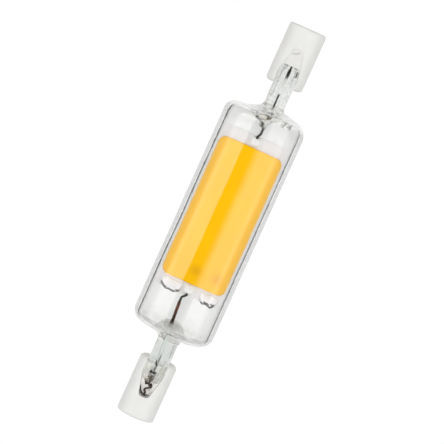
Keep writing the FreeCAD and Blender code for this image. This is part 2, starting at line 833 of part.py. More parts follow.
pieces = [
    glass_envelope,
    make_cap("right_end_cap", 1),
    make_cap("left_end_cap", -1),
    make_contact("right_contact", 1),
    make_contact("left_contact", -1),
    make_cement("right_cement", 1, tongue_depth - size.cement_lap, cap_radius, glass_envelope,
                right_outer_lead),
    make_cement("left_cement", -1, size.left_cement_depth, -size.left_cement_drop,
                glass_envelope, left_outer_lead),
    right_outer_lead,
    left_outer_lead,
    right_seal_wire,
    left_seal_wire,
    right_inner_lead,
    left_inner_lead,
    make_solder("right_solder", 1, board_right, right_inner_lead),
    make_solder("left_solder", -1, board_left, left_inner_lead),
    make_pad("right_pad", 1, board_right),
    make_pad("left_pad", -1, board_left),
    make_clip("near_clip", 1, size.near_clip_margin, size.near_clip_gap),
    make_clip("far_clip", -1, size.far_clip_margin, size.far_clip_gap),
    plate("led_board", board_middle, 0.0, board_length, board_width, size.board_corner,
          board_bottom, size.board_thickness),
    front_phosphor,
    make_strip("back_phosphor", board_bottom, -1),
    make_chips("front_led_chips", board_top),
    make_chips("back_led_chips", board_bottom - size.chip_height),
    make_circuit("rectifier_chip", rectifier_side, size.rectifier_length,
                 size.rectifier_width),
    make_circuit("driver_chip", driver_side, size.driver_length, size.driver_width),
]

document.recompute()


# Checks before anything is written

def check_document():
    for item in document.Objects:
        if "Invalid" in item.State or "Error" in item.State:
            raise RuntimeError("%s could not be worked out" % item.Label)
        if item.TypeId in ("PartDesign::Pocket", "PartDesign::Groove"):
            if item.Shape.Volume >= item.BaseFeature.Shape.Volume:
                raise RuntimeError("%s takes nothing away" % item.Label)


def check_piece(piece):
    if piece.Shape.isNull() or not piece.Shape.isValid():
        raise RuntimeError("%s has no valid shape" % piece.Label)


check_document()
os.makedirs("parts", exist_ok=True)
for piece in pieces:
    check_piece(piece)
for piece in pieces:
    piece.Shape.exportStep(os.path.join("parts", piece.Label + ".step"))
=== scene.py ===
import json
import math

import bmesh
import bpy
from mathutils import Matrix, Vector, noise


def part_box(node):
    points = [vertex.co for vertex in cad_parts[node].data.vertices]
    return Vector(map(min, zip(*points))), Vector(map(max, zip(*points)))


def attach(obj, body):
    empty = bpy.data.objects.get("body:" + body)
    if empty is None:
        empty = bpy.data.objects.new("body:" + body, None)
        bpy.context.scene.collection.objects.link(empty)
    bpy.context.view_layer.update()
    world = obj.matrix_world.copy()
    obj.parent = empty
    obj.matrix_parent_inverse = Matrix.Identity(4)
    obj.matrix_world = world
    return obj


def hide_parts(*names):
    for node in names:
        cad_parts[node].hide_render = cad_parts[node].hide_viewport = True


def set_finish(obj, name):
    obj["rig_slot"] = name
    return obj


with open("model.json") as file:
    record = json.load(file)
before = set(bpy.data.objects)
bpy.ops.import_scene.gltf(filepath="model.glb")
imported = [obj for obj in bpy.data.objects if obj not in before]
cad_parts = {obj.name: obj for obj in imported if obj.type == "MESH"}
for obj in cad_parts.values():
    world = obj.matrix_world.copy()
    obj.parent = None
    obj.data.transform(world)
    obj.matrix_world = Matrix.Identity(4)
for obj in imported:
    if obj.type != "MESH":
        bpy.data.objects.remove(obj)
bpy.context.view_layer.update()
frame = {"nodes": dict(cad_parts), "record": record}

nodes = frame["nodes"]
scene = bpy.context.scene
mm = 0.001                      # every size below is in millimetres
print("frame loaded,", len(nodes), "nodes")


# Mesh helpers

def addMesh(name, points, faces):
    mesh = bpy.data.meshes.new(name)
    mesh.from_pydata([Vector(point) * mm for point in points], [], faces)
    mesh.validate()
    mesh.update()
    for polygon in mesh.polygons:
        polygon.use_smooth = True
    piece = bpy.data.objects.new(name, mesh)
    scene.collection.objects.link(piece)
    return piece


def fixNormals(piece):
    mesh = bmesh.new()
    mesh.from_mesh(piece.data)
    bmesh.ops.recalc_face_normals(mesh, faces=mesh.faces)
    mesh.to_mesh(piece.data)
    mesh.free()


def loft(rings, offset=0):
    # joins rings of the same length into a tube, with a fan over each end
    points = [point for ring in rings for point in ring]
    count = len(rings[0])
    faces = []
    for level in range(len(rings) - 1):
        low = offset + level * count
        high = low + count
        for i in range(count):
            j = (i + 1) % count
            faces.append((low + i, low + j, high + j, high + i))
    for level, turn in ((0, -1), (len(rings) - 1, 1)):
        first, middle = offset + level * count, offset + len(points)
        points.append(sum((Vector(point) for point in rings[level]), Vector()) / count)
        for i in range(count):
            faces.append((first + i, first + (i + 1) % count, middle)[::turn])
    return points, faces


def smoothStep(low, high, value):
    t = min(max((value - low) / (high - low), 0), 1)
    return t * t * (3 - 2 * t)


def mix(a, b, t):
    return a + (b - a) * t


def bezier(start, control, end, t):
    return mix(mix(start, control, t), mix(control, end, t), t)


# Glass: one blown tube whose ends are drawn out and pressed flat round the wires

glass = {
    "tubeRadius": 7.9,
    "wall": 1.0,
    "middle": -0.5,             # of the tube, along the lamp
    "rightCorner": 21.8,        # where the end face and the round wall would meet
    "leftCorner": -22.1,
    "shoulder": 2.5,
    "endRise": 1.2,             # the end faces swell out this far
    "endWall": 0.55,
    "rightSkew": 0.38,          # how far one half of an end face stands out, and the other in
    "leftSkew": 0.1,
    "rightFlare": (2.8, 0.9),   # radius where the end face starts to turn into the stem, and length
    "leftFlare": (2.7, 0.7),
    "flareBend": 0.35,          # where its curve bends, from the end face
    "capEnd": 27.75,            # inner end of a cap
    "tongue": 4.7,              # reach of the stem into the cap
    "notchStraight": 2.9,
    "stemHalfWidth": 2.0,
    "tipHalfWidth": 1.54,
    "stemHalfThickness": 1.15,
    "webHalfThickness": 0.75,
    "tipEdge": 0.3,             # rounding of the tongue's end across its thickness
    "ridge": 0.75,
    "ridgeSlope": (-0.3, 0.1),  # its inner side, from the edge of the groove
    "squareness": 7.0,          # power of the pressed outline; a round one has 2
    "offset": -0.4,             # the stems stand beside the axis
    "coneRadius": 3.9,          # a pointed cone inside the right end
    "coneWaist": 1.6,
    "coneHeight": 2.85,
    "coneTip": 0.6,
    "domeRadius": 3.0,          # a round dome inside the left end
    "domeHeight": 2.6,
    "domeTurn": 0.93,           # share of a quarter turn, up to the wire
    "sway": 0.03,               # unevenness of the tube, and of its pressed ends
    "lumps": 0.06,
    "ripples": 0.03,
    "segments": 144,
}


def sectionPoint(angle, halfWidth, halfThickness, power, groove):
    # a point of a rounded section; groove sinks its flat faces between two ridges
    y, z = math.cos(angle), math.sin(angle)
    slopeStart, slopeEnd = (halfWidth - glass["ridge"] + side for side in glass["ridgeSlope"])
    sink = groove * (1 - glass["webHalfThickness"] / glass["stemHalfThickness"])
    low, high = 0.0, 1.5 * max(halfWidth, halfThickness)
    for _ in range(30):         # closes in on the outline from both sides
        reach = (low + high) / 2
        across = abs(reach * y)
        thickness = halfThickness * (1 - sink * (1 - smoothStep(slopeStart, slopeEnd, across)))
        size = (across / halfWidth) ** power + (abs(reach * z) / thickness) ** power
        if size > 1:
            high = reach
        else:
            low = reach
    return reach * y, reach * z


def sectionRing(x, middleY, halfWidth, halfThickness, power, groove):
    ring = []
    for i in range(glass["segments"]):
        angle = 2 * math.pi * i / glass["segments"]
        y, z = sectionPoint(angle, halfWidth, halfThickness, power, groove)
        ring.append((x, middleY + y, z))
    return ring


def roundRing(x, radius):
    step = 2 * math.pi / glass["segments"]
    angles = [i * step for i in range(glass["segments"])]
    return [(x, radius * math.cos(angle), radius * math.sin(angle)) for angle in angles]


def shoulderProfile(corner, side, radius, cornerRound, innerRadius):
    # from the round wall over the shoulder to a radius on the end face
    rise, run = glass["endRise"], radius - glass["stemHalfWidth"]
    turn = math.pi / 2 - math.atan2(rise, run)
    reach = cornerRound * math.tan(turn / 2)
    centreX, centreR = corner - side * reach, radius - cornerRound
    profile = []
    steps = 14
    for i in range(steps + 1):
        angle = turn * i / steps
        x = centreX + side * cornerRound * math.sin(angle)
        profile.append((x, centreR + cornerRound * math.cos(angle)))
    _, startR = profile[-1]
    steps = 8
    for i in range(1, steps + 1):
        r = mix(startR, innerRadius, i / steps)
        profile.append((corner + side * rise * (radius - r) / run, r))
    return profile


def endRings(side):
    # rings of one end, from the round wall to the tip of the tongue
    g = glass
    corner = g["rightCorner"] if side > 0 else g["leftCorner"]
    flareRadius, flareLength = g["rightFlare"] if side > 0 else g["leftFlare"]
    profile = shoulderProfile(corner, side, g["tubeRadius"], g["shoulder"], flareRadius)
    rings = [roundRing(x, radius) for x, radius in profile]
    faceX, faceR = profile[-1]
    flareEnd = faceX + side * flareLength
    steps = 22
    for i in range(1, steps + 1):       # the round section turns into the pressed one
        t = i / steps
        x = bezier(faceX, faceX + side * g["flareBend"], flareEnd, t)
        halfWidth = bezier(faceR, g["stemHalfWidth"] + 0.15, g["stemHalfWidth"], t)
        halfThickness = bezier(faceR, g["stemHalfThickness"] + 0.1, g["stemHalfThickness"], t)
        power = mix(2.0, g["squareness"], smoothStep(0.2, 1.0, t))
        middleY = g["offset"] * smoothStep(0, 0.6, t)
        groove = smoothStep(0.55, 1.0, t)
        rings.append(sectionRing(x, middleY, halfWidth, halfThickness, power, groove))
    tip = side * (g["capEnd"] + g["tongue"])
    tipRound = 0.75 * g["tipHalfWidth"]
    steps = 90
    for i in range(1, steps + 1):       # the stem, and its tongue narrowing in the cap
        x = mix(flareEnd, tip, i / steps)
        depth = abs(x) - g["capEnd"]
        narrow = max(0, (depth - g["notchStraight"]) / (g["tongue"] - g["notchStraight"]))
        halfWidth = mix(g["stemHalfWidth"], g["tipHalfWidth"], narrow)
        past = max(0, depth - (g["tongue"] - tipRound)) / tipRound
        halfWidth -= tipRound * (1 - math.sqrt(max(0, 1 - past * past)))
        edge = max(0, depth - (g["tongue"] - g["tipEdge"])) / g["tipEdge"]
        halfThickness = g["stemHalfThickness"] - g["tipEdge"] * (1 - math.sqrt(max(0, 1 - edge * edge)))
        groove = 1 - smoothStep(0.5, 1.0, past)
        rings.append(sectionRing(x, g["offset"], halfWidth, halfThickness, g["squareness"], groove))
    return rings


def hollowProfile(side):
    # the bore's end: shoulder, end face and the glass that stands in round the wire
    g = glass
    corner = (g["rightCorner"] if side > 0 else g["leftCorner"]) - side * g["endWall"]
    bore = g["tubeRadius"] - g["wall"]
    baseRadius = g["coneRadius"] if side > 0 else g["domeRadius"]
    profile = shoulderProfile(corner, side, bore, g["shoulder"] - g["wall"], baseRadius)
    baseX, _ = profile[-1]
    steps = 26
    for i in range(1, steps + 1):
        t = i / steps
        if side > 0:            # hollow flanks run up to the tip
            radius = bezier(baseRadius, g["coneWaist"], g["coneTip"], t)
            x = baseX - bezier(0.0, g["coneHeight"] * 0.42, g["coneHeight"], t)
        else:
            angle = t * math.pi / 2 * g["domeTurn"]
            radius = baseRadius * math.cos(angle)
            x = baseX + g["domeHeight"] * math.sin(angle)
        profile.append((x, radius))
    return profile


def wavyGlass(point, isOuter):
    # blown glass is never quite even, and a pressed stem less so
    x, y, z = point
    place = Vector(point)
    along = abs(x - glass["middle"])
    pressed = smoothStep(21.5, 24.5, along)
    sway = noise.noise(place * 0.16 + Vector((7, 0, 3))) * glass["sway"] * (0.8 if isOuter else 1.0)
    lumps = noise.noise(place * 0.9 + Vector((1, 9, 4))) * glass["lumps"] * pressed
    ripples = noise.noise(Vector((x * 1.6, y * 0.7, z * 0.7))) * glass["ripples"] * pressed
    change = 1 + (sway + lumps + ripples) / max(math.hypot(y, z), 1.2)
    onFace = smoothStep(20.2, 21.2, along) * (1 - smoothStep(23.0, 24.5, along))
    lean = onFace * math.sin(math.pi * y / glass["tubeRadius"])
    skew = lean * (-glass["rightSkew"] if x > 0 else glass["leftSkew"])
    return x + skew, y * change, z * change


def wallRings(start, end, radius):
    # the round wall, between the rings at its two ends
    steps = 60
    return [roundRing(mix(start, end, i / steps), radius) for i in range(1, steps)]


def makeGlass():
    left, right = endRings(-1), endRings(1)
    outer = left[::-1] + wallRings(left[0][0][0], right[0][0][0], glass["tubeRadius"]) + right
    bore = glass["tubeRadius"] - glass["wall"]
    leftProfile, rightProfile = hollowProfile(-1), hollowProfile(1)
    inner = [roundRing(x, radius) for x, radius in leftProfile[::-1]]
    inner += wallRings(leftProfile[0][0], rightProfile[0][0], bore)
    inner += [roundRing(x, radius) for x, radius in rightProfile]
    outer = [[wavyGlass(point, True) for point in ring] for ring in outer]
    inner = [[wavyGlass(point, False) for point in ring] for ring in inner]
    outerPoints, outerFaces = loft(outer)
    innerPoints, innerFaces = loft(inner, offset=len(outerPoints))
    faces = [face[::-1] for face in outerFaces] + innerFaces
    piece = addMesh("blownGlass", outerPoints + innerPoints, faces)
    check = bmesh.new()
    check.from_mesh(piece.data)
    if check.calc_volume(signed=True) < 0:      # loft() turned the faces inwards
        bmesh.ops.reverse_faces(check, faces=check.faces)
        check.to_mesh(piece.data)
    check.free()
    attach(piece, "root")
    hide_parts("glass_envelope")
    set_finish(piece, "glass")
    return piece


blownGlass = makeGlass()
print("glass made,", len(blownGlass.data.polygons), "faces")


# Phosphor strips: dispensed silicone with a soft free edge

phosphorStrip = {
    "edgeRound": 0.34,
    "foot": 0.12,
    "corner": 1.5,
    "waver": 0.05,              # unevenness of the outline
    "crown": 0.05,              # how far the middle stands over the edges
    "dimple": 0.02,
    "insets": (0.5, 0.75, 1.1, 1.6, 2.2, 3.0, 4.0, 5.0, 5.8),   # rings of the top
    "outlinePoints": 320,
}


def stripOutline(middle, halfLength, halfWidth):
    # evenly spaced points of a rounded rectangle
    corner, count = phosphorStrip["corner"], phosphorStrip["outlinePoints"]
    path = []
    steps = 12
    for signX, signY, start in ((1, -1, -90), (1, 1, 0), (-1, 1, 90), (-1, -1, 180)):
        centreX = middle[0] + signX * (halfLength - corner)
        centreY = middle[1] + signY * (halfWidth - corner)
        for i in range(steps + 1):
            angle = math.radians(start + 90 * i / steps)
            path.append((centreX + corner * math.cos(angle), centreY + corner * math.sin(angle)))
    path.append(path[0])
    lengths = [0.0]
    for a, b in zip(path, path[1:]):
        lengths.append(lengths[-1] + math.dist(a, b))
    spots = []
    index = 0
    for k in range(count):
        wanted = lengths[-1] * k / count
        while lengths[index + 1] < wanted:
            index += 1
        t = (wanted - lengths[index]) / (lengths[index + 1] - lengths[index])
        (startX, startY), (endX, endY) = path[index], path[index + 1]
        spots.append((mix(startX, endX, t), mix(startY, endY, t)))
    return spots


def makeStrip(name, node, face):
    low, high = (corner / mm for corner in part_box(node))
    middle = ((low.x + high.x) / 2, (low.y + high.y) / 2)
    halfLength, halfWidth = (high.x - low.x) / 2, (high.y - low.y) / 2
    foot, top = (low.z, high.z) if face > 0 else (high.z, low.z)
    s = phosphorStrip
    outline = stripOutline(middle, halfLength, halfWidth)
    levels = [(foot, 0.0), (foot + face * s["foot"], 0.0)]
    steps = 8
    for i in range(steps + 1):
        angle = math.pi / 2 * i / steps
        drop, inset = 1 - math.sin(angle), 1 - math.cos(angle)
        levels.append((top - face * s["edgeRound"] * drop, s["edgeRound"] * inset))
    levels += [(top, inset) for inset in s["insets"]]
    rings = []
    for z, inset in levels:
        ring = []
        for x, y in outline:
            away = s["waver"] * noise.noise(Vector((x * 0.5, y * 0.5, 5.0 * face)))
            shrinkX = (halfLength - inset + away) / halfLength
            shrinkY = (halfWidth - inset + away) / halfWidth
            spotX = middle[0] + (x - middle[0]) * shrinkX
            spotY = middle[1] + (y - middle[1]) * shrinkY
            swell = s["crown"] * smoothStep(0.3, 3.0, inset) - s["crown"]
            dimple = s["dimple"] * noise.noise(Vector((spotX * 0.35, spotY * 0.35, 2.0)))
            ring.append((spotX, spotY, z + face * (swell + dimple) * smoothStep(0.0, 0.4, inset)))
        rings.append(ring)
    piece = addMesh(name, *loft(rings))
    fixNormals(piece)
    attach(piece, "root")
    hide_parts(node)
    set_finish(piece, "phosphor")
    return piece


frontStrip = makeStrip("frontPhosphor", "front_phosphor", 1)
backStrip = makeStrip("backPhosphor", "back_phosphor", -1)
print("phosphor strips made")


# Clips: tinned strip folded over the end of the board, puffed up by the solder it took

clip = {
    "roundness": 0.85,          # how far back from the fold its rounding starts
    "corner": 1.0,              # rounding of the fold's two corners, seen from above
    "puff": 0.34,
    "lump": 0.13,
    "raggedFold": 0.308,
    "raggedTip": 0.25,
    "tuck": (0.05, 0.02),       # how far its inside clears the board's end and sinks in its faces
    "steps": 44,
}


def makeClip(name, node, seed):
    low, high = (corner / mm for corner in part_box(node))
    boardLow, boardHigh = (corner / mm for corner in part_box("led_board"))
    middleZ = (boardHigh.z + boardLow.z) / 2
    behind, into = clip["tuck"]
    rings = []
    for i in range(clip["steps"] + 1):
        y = mix(low.y, high.y, i / clip["steps"])
        inset = min(y - low.y, high.y - y)
        end = max(0, 1 - inset / clip["corner"])
        full = math.sqrt(max(0.02, 1 - end * end))
        fold = low.x + clip["corner"] * (1 - full)
        fold -= clip["raggedFold"] * noise.noise(Vector((seed, y * 0.9, 0)))
        tip = high.x + clip["raggedTip"] * noise.noise(Vector((seed + 9, y * 0.8, 0)))
        path = []
        for face, flat, outer in ((1, boardHigh.z, high.z), (-1, boardLow.z, low.z)):
            leg = []
            steps = 10
            for k in range(steps + 1):      # along the face, towards the fold
                t = k / steps
                x = mix(tip, fold + clip["roundness"], t)
                swell = clip["puff"] * smoothStep(0, 0.8, t) if face > 0 else 0
                lump = clip["lump"] * noise.noise(Vector((x * 1.1, y * 1.1, seed))) * smoothStep(0, 0.4, t)
                rise = (abs(outer - flat) * smoothStep(-0.4, 0.3, t) + swell + lump) * full
                leg.append((x, flat + face * rise))
            startX, startZ = leg[-1]
            steps = 9
            for k in range(1, steps + 1):   # round the fold, as a quarter of an ellipse
                angle = math.pi / 2 * k / steps
                x = startX - (startX - fold) * math.sin(angle)
                leg.append((x, mix(middleZ, startZ, math.cos(angle))))
            path += leg if face > 0 else leg[::-1][1:]
        path += [(tip, boardLow.z + into), (boardLow.x - behind, boardLow.z + into),
                 (boardLow.x - behind, boardHigh.z - into), (tip, boardHigh.z - into)]
        rings.append([(x, y, z) for x, z in path])
    piece = addMesh(name, *loft(rings))
    fixNormals(piece)
    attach(piece, "root")
    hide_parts(node)
    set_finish(piece, "tinned_clip")
    return piece


nearClip = makeClip("nearClip", "near_clip", 3.0)
farClip = makeClip("farClip", "far_clip", 8.0)
print("clips made")


# Node helpers: a value given to them is a socket to link or a plain value to set

def feed(tree, socket, value):
    if isinstance(value, bpy.types.NodeSocket):
        tree.links.new(value, socket)
    elif socket.type == "RGBA":
        socket.default_value = (*value, 1.0)
    else:
        socket.default_value = value


def fill(tree, node, **values):
    # feeds inputs by name, with _ for a space, and gives back the node's outputs
    for label, value in values.items():
        feed(tree, node.inputs[label.replace("_", " ")], value)
    return node.outputs


def addNode(tree, kind, **values):
    node = tree.nodes.new("ShaderNode" + kind)
    for label, value in values.items():
        setattr(node, label, value)
    return node


def addMath(tree, operation, *values, clamp=False):
    node = addNode(tree, "Math", operation=operation, use_clamp=clamp)
    for socket, value in zip(node.inputs, values):
        feed(tree, socket, value)
    return node.outputs[0]


def addVectorMath(tree, operation, *values):
    node = addNode(tree, "VectorMath", operation=operation)
    for socket, value in zip(node.inputs, values):
        feed(tree, socket, value)
    return node.outputs["Value" if operation in ("DOT_PRODUCT", "DISTANCE") else "Vector"]


def addScaled(tree, vector, factor):
    node = addNode(tree, "VectorMath", operation="SCALE")
    feed(tree, node.inputs[0], vector)
    return fill(tree, node, Scale=factor)[0]


def addParts(tree, vector):
    return fill(tree, addNode(tree, "SeparateXYZ"), Vector=vector)


def addNoise(tree, vector, scale, detail=3.0, roughness=0.5):
    node = addNode(tree, "TexNoise")
    return fill(tree, node, Vector=vector, Scale=scale, Detail=detail, Roughness=roughness)["Fac"]


def addMix(tree, factor, first, second):
    # inputs 6 and 7 and output 2 are the colours of this node
    node = addNode(tree, "Mix", data_type="RGBA")
    for index, value in ((0, factor), (6, first), (7, second)):
        feed(tree, node.inputs[index], value)
    return node.outputs[2]


def addShaderMix(tree, factor, first, second):
    node = addNode(tree, "MixShader")
    for socket, value in zip(node.inputs, (factor, first, second)):
        feed(tree, socket, value)
    return node.outputs[0]


def addRamp(tree, factor, stops):
    # stops are (place, value)
    node = addNode(tree, "ValToRGB")
    ramp = node.color_ramp
    while len(ramp.elements) < len(stops):
        ramp.elements.new(1.0)
    for element, (place, value) in zip(ramp.elements, stops):
        element.position = place
        element.color = (value, value, value, 1.0)
    return fill(tree, node, Fac=factor)["Color"]


def addAcross(tree, start, end, value):
    # 0 to 1, softly, as a value runs from a start to an end
    node = addNode(tree, "MapRange", interpolation_type="SMOOTHSTEP")
    return fill(tree, node, From_Min=start, From_Max=end, Value=value)[0]


def placeInMillimetres(tree):
    # the surface's own place in the lamp
    return addScaled(tree, addNode(tree, "TexCoord").outputs["Object"], 1000)


# Shared shader groups

def makeGroup(name, inputs, outputs):
    group = bpy.data.node_groups.new(name, "ShaderNodeTree")
    for label, kind, value in inputs:
        socket = group.interface.new_socket(label, in_out="INPUT", socket_type="NodeSocket" + kind)
        socket.default_value = value
    for label, kind in outputs:
        group.interface.new_socket(label, in_out="OUTPUT", socket_type="NodeSocket" + kind)
    return group, group.nodes.new("NodeGroupInput").outputs, group.nodes.new("NodeGroupOutput")


def makeMottle():
    # slow cloudy change between two colours, with fine specks in it
    group, given, result = makeGroup(
        "mottle",
        [("Light", "Color", (1, 1, 1, 1)), ("Dark", "Color", (0, 0, 0, 1)), ("Scale", "Float", 1.0),
         ("Specks", "Float", 0.2)],
        [("Color", "Color"), ("Mask", "Float")],
    )
    place = placeInMillimetres(group)
    clouds = addMath(group, "SUBTRACT", addNoise(group, place, given["Scale"], 4.0, 0.55), 0.5)
    fineScale = addMath(group, "MULTIPLY", given["Scale"], 9.0)
    specks = addMath(group, "SUBTRACT", addNoise(group, place, fineScale, 2.0, 0.6), 0.5)
    specks = addMath(group, "MULTIPLY", specks, given["Specks"])
    mask = addMath(group, "MULTIPLY_ADD", clouds, 1.8, 0.5, clamp=True)
    mask = addMath(group, "ADD", mask, specks, clamp=True)
    fill(group, result, Color=addMix(group, mask, given["Dark"], given["Light"]), Mask=mask)
    return group


def makeGrain():
    # a bump of fine grain over a slower unevenness
    group, given, result = makeGroup(
        "grain",
        [("Scale", "Float", 4.0), ("Fine", "Float", 0.004), ("Slow", "Float", 0.01)],
        [("Normal", "Vector")],
    )
    place = placeInMillimetres(group)
    fine = addMath(group, "MULTIPLY", addNoise(group, place, given["Scale"]), given["Fine"])
    slowScale = addMath(group, "DIVIDE", given["Scale"], 8.0)
    slow = addMath(group, "MULTIPLY", addNoise(group, place, slowScale, 2.0), given["Slow"])
    bump = fill(group, addNode(group, "Bump"), Distance=mm, Height=addMath(group, "ADD", fine, slow))
    fill(group, result, Normal=bump["Normal"])
    return group


def makeStroke():
    # 1 on a straight mark between two places seen from above, 0 beside it
    group, given, result = makeGroup(
        "stroke",
        [("Place", "Vector", (0, 0, 0)), ("From", "Vector", (0, 0, 0)), ("To", "Vector", (0, 0, 0)),
         ("Width", "Float", 0.1), ("Soft", "Float", 0.05)],
        [("Mask", "Float")],
    )
    flat = addVectorMath(group, "MULTIPLY", given["Place"], (1, 1, 0))
    away = addVectorMath(group, "SUBTRACT", flat, given["From"])
    run = addVectorMath(group, "SUBTRACT", given["To"], given["From"])
    length = addMath(group, "MAXIMUM", addVectorMath(group, "DOT_PRODUCT", run, run), 0.0001)
    along = addVectorMath(group, "DOT_PRODUCT", away, run)
    nearest = addScaled(group, run, addMath(group, "DIVIDE", along, length, clamp=True))
    gap = addVectorMath(group, "DISTANCE", away, nearest)
    outside = addMath(group, "ADD", given["Width"], given["Soft"])
    inside = addMath(group, "SUBTRACT", given["Width"], given["Soft"])
    fill(group, result, Mask=addAcross(group, outside, inside, gap))
    return group


mottle, grain, stroke = makeMottle(), makeGrain(), makeStroke()


def useGroup(tree, group, **values):
    return fill(tree, addNode(tree, "Group", node_tree=group), **values)


def newMaterial(name):
    material = bpy.data.materials.new(name)
    material.use_nodes = True
    return material, material.node_tree, material.node_tree.nodes["Principled BSDF"]


def startFinish(name, light, dark, clouds, relief, roughness, metallic=0.0):
    # clouds are scale and specks of the mottle, relief is scale, fine and slow of the grain, and
    # roughness runs from the dark places to the light ones
    material, tree, shader = newMaterial(name)
    scale, specks = clouds
    colour = useGroup(tree, mottle, Light=light, Dark=dark, Scale=scale, Specks=specks)
    scale, fine, slow = relief
    normal = useGroup(tree, grain, Scale=scale, Fine=fine, Slow=slow)["Normal"]
    atDark, atLight = roughness
    gloss = fill(tree, addNode(tree, "MapRange"), To_Min=atDark, To_Max=atLight, Value=colour["Mask"])
    fill(tree, shader, Base_Color=colour["Color"], Normal=normal, Roughness=gloss[0], Metallic=metallic)
    return material, tree, shader, colour["Color"]


# Marks seen from above: dark marks of the making, and painted shade and shadow lines

def addMarks(tree, place, marks, soft=0.05):
    # each mark is its places as (x, y) in millimetres, half its width and its strength
    mask = 0.0
    for places, width, strength in marks:
        for start, finish in zip(places, places[1:] or places):
            mark = useGroup(tree, stroke, Place=place, From=(*start, 0), To=(*finish, 0), Width=width,
                            Soft=min(soft, width * 0.8))
            mask = addMath(tree, "MAXIMUM", addMath(tree, "MULTIPLY", mark["Mask"], strength), mask)
    return mask


def addWander(tree, place, scale, reach):
    # shifts a place a little in x and y, so that marks get uneven edges
    cloud = fill(tree, addNode(tree, "TexNoise"), Vector=place, Scale=scale)["Color"]
    shifted = addVectorMath(tree, "MULTIPLY_ADD", cloud, (reach, reach, 0), place)
    return addVectorMath(tree, "SUBTRACT", shifted, (reach / 2, reach / 2, 0))


glassShadeMarks = [
    # the right stem: painted shade along its ridges and at the slot's end, and a dark mark beside the lead
    ([(22.8, 1.05), (24.3, 1.32), (27.1, 1.47), (30.6, 1.59)], 0.08, 0.45),
    ([(25.2, 1.02), (26.1, 0.85), (29.0, 1.0), (31.3, 0.77)], 0.09, 0.42),
    ([(31.6, 0.89), (31.7, -0.04)], 0.07, 0.4),
    ([(31.05, -1.85), (30.1, -1.82)], 0.11, 1.0),
    ([(27.8, -2.15), (25.5, -2.19), (23.2, -2.3)], 0.06, 0.15),
    ([(22.8, -1.48)], 0.12, 0.5),
    # painted shade on the cone round the right wire, and on the curls beside it
    ([(21.75, 0.1), (21.7, -0.36), (21.15, -0.3)], 0.14, 0.95),
    ([(21.77, 2.23), (21.58, 1.75)], 0.13, 0.85),
    ([(21.37, 1.55), (21.89, 0.19)], 0.06, 0.6),
    ([(22.93, -1.44), (22.69, -1.67)], 0.1, 0.7),
    ([(22.2, 1.5), (22.2, 1.0)], 0.12, 0.6),
    ([(21.55, 3.2), (21.7, 2.5)], 0.16, 0.5),
    ([(20.7, 1.6), (20.2, 1.05), (19.1, -0.3)], 0.26, 0.75),
    ([(20.5, -0.64), (19.7, -0.81), (19.15, -0.63)], 0.07, 0.6),
    ([(21.3, -2.95), (20.95, -3.45), (21.8, -3.55), (21.2, -4.3), (21.8, -4.6)], 0.06, 0.9),
    ([(21.6, -4.65), (21.05, -4.6)], 0.08, 0.9),
    ([(20.9, -4.5), (20.3, -4.2), (19.4, -2.8), (18.7, -1.3)], 0.06, 0.25),
    # painted shade on the left stem and the dome
    ([(-23.21, 2.1), (-24.13, 1.5), (-25.15, 1.48)], 0.09, 0.6),
    ([(-25.15, 1.5), (-27.2, 1.75)], 0.06, 0.35),
    ([(-23.9, -1.6), (-24.2, -1.75), (-26.6, -1.9)], 0.1, 0.5),
    ([(-23.1, 3.05), (-23.0, 2.3)], 0.13, 0.9),
    ([(-22.95, 1.2), (-23.65, 0.75), (-23.9, 0.35)], 0.12, 1.0),
    ([(-23.0, 0.36), (-23.55, 0.5)], 0.08, 1.0),
    ([(-23.9, -0.06), (-23.96, -1.3)], 0.06, 0.5),
    ([(-23.2, -2.5), (-23.0, -3.8)], 0.14, 0.5),
    ([(-20.9, 6.2), (-21.5, 5.2)], 0.1, 0.9),
]
# painted shade: soft grey over the dome inside the left end
domeShade = [([(-21.1, 2.1), (-21.0, -1.4)], 0.9, 0.5)]
slotMarksAndShade = [
    # black round the left lead, and painted shade as thin dark lines down the walls of the slot
    ([(-28.1, 0.12), (-28.9, -0.33)], 0.17, 0.95),
    ([(-28.9, -0.33), (-30.4, -0.3)], 0.09, 0.9),
    ([(-30.5, 0.17)], 0.32, 1.0),
    ([(-30.45, -0.56)], 0.3, 1.0),
    ([(-30.5, 0.19), (-30.45, -0.56)], 0.16, 1.0),
    ([(-31.6, 0.1)], 0.17, 0.85),
    ([(-31.9, -0.7)], 0.14, 0.7),
    ([(-32.4, 0.43), (-32.9, 0.06), (-32.6, -0.42), (-32.8, -0.94), (-33.3, -1.02)], 0.19, 1.0),
    ([(-28.2, 1.48), (-29.9, 1.49), (-32.3, 1.2), (-33.6, 0.98)], 0.07, 0.55),
    ([(-28.1, -1.4), (-29.3, -1.7), (-31.0, -1.75), (-32.1, -1.4), (-33.9, -0.95)], 0.07, 0.6),
    ([(-28.1, -0.46), (-28.5, -1.09), (-29.7, -1.45), (-31.0, -1.3)], 0.05, 0.35),
]
slotEndShade = [
    # painted shade round the end of the left slot, heavier on one side
    ([(-33.6, 0.95), (-34.3, 0.7), (-34.72, 0.3)], 0.15, 1.0),
    ([(-34.72, 0.3), (-34.9, -0.1), (-34.9, -0.7), (-34.7, -1.1)], 0.1, 1.0),
    ([(-34.7, -1.1), (-34.0, -1.4)], 0.07, 0.7),
]
# painted shadow of a small bump in the cement
cementShadowLine = [([(33.8, 0.45), (34.35, -0.75)], 0.09, 0.5)]
slotBrown = [([(-31.2, -0.25), (-32.1, -0.2)], 0.72, 0.85)]


# Finishes

